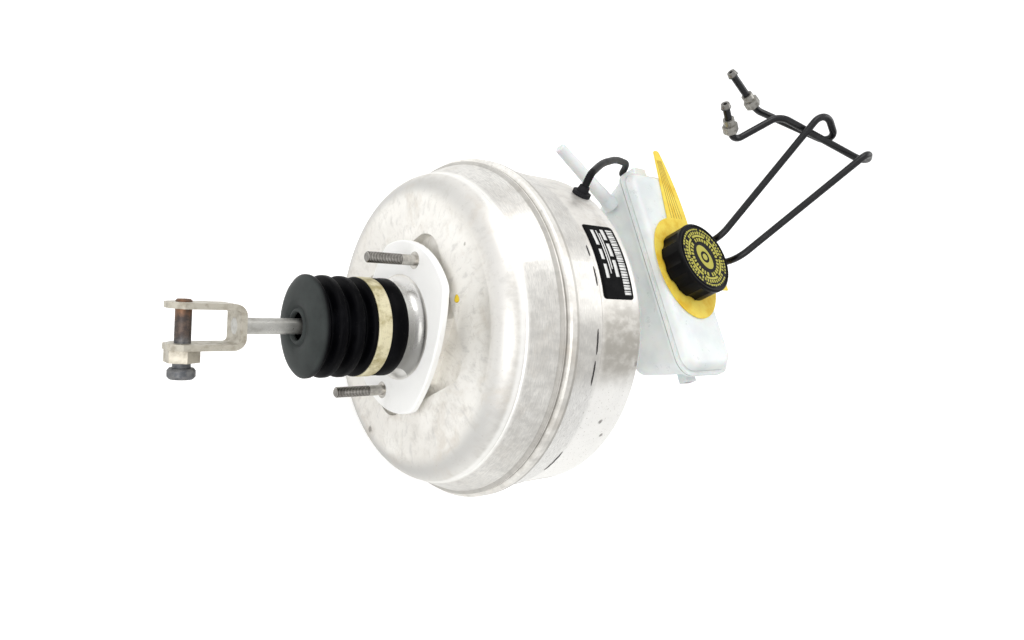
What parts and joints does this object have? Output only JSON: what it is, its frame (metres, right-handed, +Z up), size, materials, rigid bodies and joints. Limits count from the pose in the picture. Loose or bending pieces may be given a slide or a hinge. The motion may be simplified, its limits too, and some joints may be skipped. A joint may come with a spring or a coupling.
{
  "type": "brake booster",
  "caption": "Vacuum brake booster drum with bulkhead flange, push rod fork, tandem master cylinder, fluid reservoir and two bent brake pipes.",
  "frame": {"origin": "centre of the mounting flange's bulkhead face, on the booster axis", "axes": "+X along the booster axis from the pedal towards the master cylinder, +Y to the left, +Z up"},
  "size_m": [0.5609, 0.3156, 0.3674],
  "materials": {
    "shell": "satin rolled sheet with faint stains",
    "flange_plate": "pale zinc-coated plate",
    "zinc": "zinc plated",
    "steel": "machined steel",
    "pin_steel": "rusted in the gap, dark outside",
    "spring_steel": "oiled spring steel",
    "rubber": "moulded black rubber",
    "boot": "satin black bellows",
    "band": "cream retaining band, mottled",
    "valve_plastic": "dark phenolic moulding",
    "plate_metal": "pressed plate",
    "diaphragm": "thin moulded rubber",
    "felt": "filter felt",
    "casting": "sand-blasted casting",
    "reservoir": "translucent white moulding",
    "cap_black": "black moulding with an olive-yellow ring print",
    "tag": "yellow card with ruled lines",
    "black_plastic": "black moulding",
    "yellow_green": "float moulding",
    "lead": "black sleeving",
    "pipe": "glossy black coating"
  },
  "bodies": {
    "root": {"rear_shell": "shell", "mounting_flange": "flange_plate", "mounting_studs": "zinc", "neck_seal": "rubber", "boot": "boot", "boot_band": "band", "diaphragm": "diaphragm", "return_spring": "spring_steel", "front_shell": "shell", "front_studs": "zinc", "front_nuts": "zinc", "hub_seal": "rubber", "check_grommet": "rubber", "check_valve": "black_plastic", "master_cylinder": "casting", "primary_spring": "spring_steel", "secondary_spring": "spring_steel", "reservoir_lower": "reservoir", "reservoir_upper": "reservoir", "reservoir_grommets": "rubber", "retaining_pin": "zinc", "clutch_spout": "reservoir", "level_switch": "black_plastic", "switch_socket": "reservoir", "lead_grommet": "rubber", "sensor_lead": "lead", "lead_plug": "black_plastic", "pipe_a": "pipe", "pipe_b": "pipe", "outlet_nuts": "zinc"},
    "power_piston": {"valve_body": "valve_plastic", "diaphragm_plate": "plate_metal", "valve_key": "steel", "reaction_disc": "rubber", "output_rod": "steel", "poppet_valve": "rubber", "valve_retainer": "steel", "poppet_spring": "spring_steel", "air_filter": "felt", "tail_grille": "black_plastic"},
    "plunger": {"valve_plunger": "steel"},
    "push_rod": {"input_rod": "zinc", "clevis": "zinc", "clevis_nut": "zinc"},
    "pin": {"clevis_pin": "pin_steel"},
    "primary": {"primary_piston": "casting", "primary_cups": "rubber"},
    "secondary": {"secondary_piston": "casting", "secondary_cups": "rubber"},
    "cap_carrier": {"cap_seal": "rubber"},
    "cap": {"reservoir_cap": "cap_black"},
    "tag": {"service_tag": "tag"},
    "float": {"level_float": "yellow_green"},
    "nut_a": {"pipe_a_free_nut": "zinc"},
    "nut_b": {"pipe_b_free_nut": "zinc"}
  },
  "joints": [
    {"name": "power_stroke", "type": "slide", "parent": "root", "child": "power_piston", "axis": [1, 0, 0], "range_m": [0, 0.028], "stiffness_N_per_m": 3000, "springref_m": -0.03, "deforming": ["boot", "diaphragm", "return_spring", "primary_spring", "secondary_spring"]},
    {"name": "valve_lift", "type": "slide", "parent": "power_piston", "child": "plunger", "axis": [1, 0, 0], "range_m": [0, 0.0015], "stiffness_N_per_m": 2000, "springref_m": -0.01, "deforming": ["poppet_spring"]},
    {"name": "rod_tilt", "type": "hinge", "parent": "plunger", "child": "push_rod", "pos_m": [-0.012, 0, 0], "axis": [0, 0.8949, 0.4462], "range_deg": [-3.5, 3.5], "stiffness_Nm_per_rad": 10},
    {"name": "pin_withdraw", "type": "slide", "parent": "push_rod", "child": "pin", "axis": [0, -0.8949, -0.4462], "range_m": [0, 0.034]},
    {"name": "primary_travel", "type": "slide", "parent": "root", "child": "primary", "axis": [1, 0, 0], "range_m": [0, 0.028]},
    {"name": "secondary_travel", "type": "slide", "parent": "root", "child": "secondary", "axis": [1, 0, 0], "range_m": [0, 0.014]},
    {"name": "cap_lift", "type": "slide", "parent": "root", "child": "cap_carrier", "axis": [0, 0, 1], "range_m": [0, 0.024]},
    {"name": "cap_turn", "type": "hinge", "parent": "cap_carrier", "child": "cap", "pos_m": [0.2545, 0.0235, 0.108], "axis": [0, 0, 1], "range_deg": [0, 1441]},
    {"name": "tag_swivel", "type": "hinge", "parent": "root", "child": "tag", "pos_m": [0.2545, 0.0235, 0.092], "axis": [0, 0, 1], "range_deg": [-12, 12]},
    {"name": "float_drop", "type": "slide", "parent": "root", "child": "float", "axis": [0, 0, -1], "range_m": [0, 0.018]},
    {"name": "nut_a_slide", "type": "slide", "parent": "root", "child": "nut_a", "axis": [-0.8451, 0.503, 0.1811], "range_m": [0, 0.024]},
    {"name": "nut_b_slide", "type": "slide", "parent": "root", "child": "nut_b", "axis": [-0.7276, 0.4851, 0.4851], "range_m": [0, 0.011]}
  ],
  "couplings": [
    {"joint": "primary_travel", "follows": "power_stroke", "ratio": 1},
    {"joint": "secondary_travel", "follows": "power_stroke", "ratio": 0.5},
    {"joint": "cap_turn", "follows": "cap_lift", "rad_per_m": 1047.2}
  ]
}
